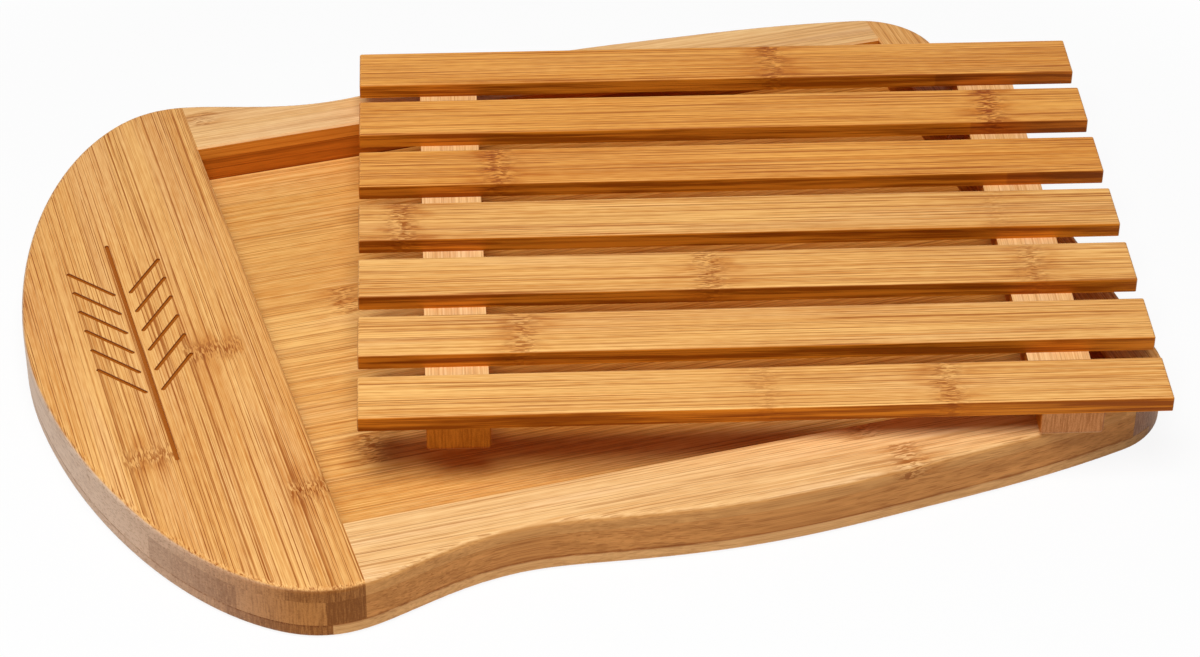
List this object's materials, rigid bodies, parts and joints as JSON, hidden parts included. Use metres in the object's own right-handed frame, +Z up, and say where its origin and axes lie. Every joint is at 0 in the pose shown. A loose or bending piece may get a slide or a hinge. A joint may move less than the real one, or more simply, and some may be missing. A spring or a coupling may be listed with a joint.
{
  "type": "bread board with crumb tray",
  "caption": "Loaf-shaped bamboo bread board with a recessed crumb tray and a loose slatted rack lying askew on it.",
  "frame": {"origin": "middle of the tray's underside, on the surface it stands on", "axes": "+X along the board from the domed end to the square end, +Y from the front to the back, +Z up"},
  "size_m": [0.4106, 0.2894, 0.0351],
  "materials": {
    "bamboo_face": "oiled satin, long straight grain",
    "bamboo_core": "sanded edge, end grain in blocks",
    "bamboo_base": "oiled satin, long straight grain",
    "bamboo_slat": "oiled satin, long straight grain",
    "bamboo_batten": "sanded, pale",
    "brad_steel": "bright wire"
  },
  "bodies": {
    "tray": {"left_end_top_ply": "bamboo_face", "left_end_core_ply": "bamboo_core", "left_end_bottom_ply": "bamboo_base", "right_end_top_ply": "bamboo_face", "right_end_core_ply": "bamboo_core", "right_end_bottom_ply": "bamboo_base", "front_rail_top_ply": "bamboo_face", "front_rail_core_ply": "bamboo_core", "back_rail_top_ply": "bamboo_face", "back_rail_core_ply": "bamboo_core", "base_panel": "bamboo_base"},
    "rack": {"slat_1": "bamboo_slat", "slat_2": "bamboo_slat", "slat_3": "bamboo_slat", "slat_4": "bamboo_slat", "slat_5": "bamboo_slat", "slat_6": "bamboo_slat", "slat_7": "bamboo_slat", "left_batten": "bamboo_batten", "right_batten": "bamboo_batten", "left_batten_brads": "brad_steel", "right_batten_brads": "brad_steel"}
  },
  "joints": [
    {"name": "rack_lift", "type": "slide", "parent": "tray", "child": "rack", "axis": [0, 0, 1], "range_m": [0, 0.12]}
  ]
}
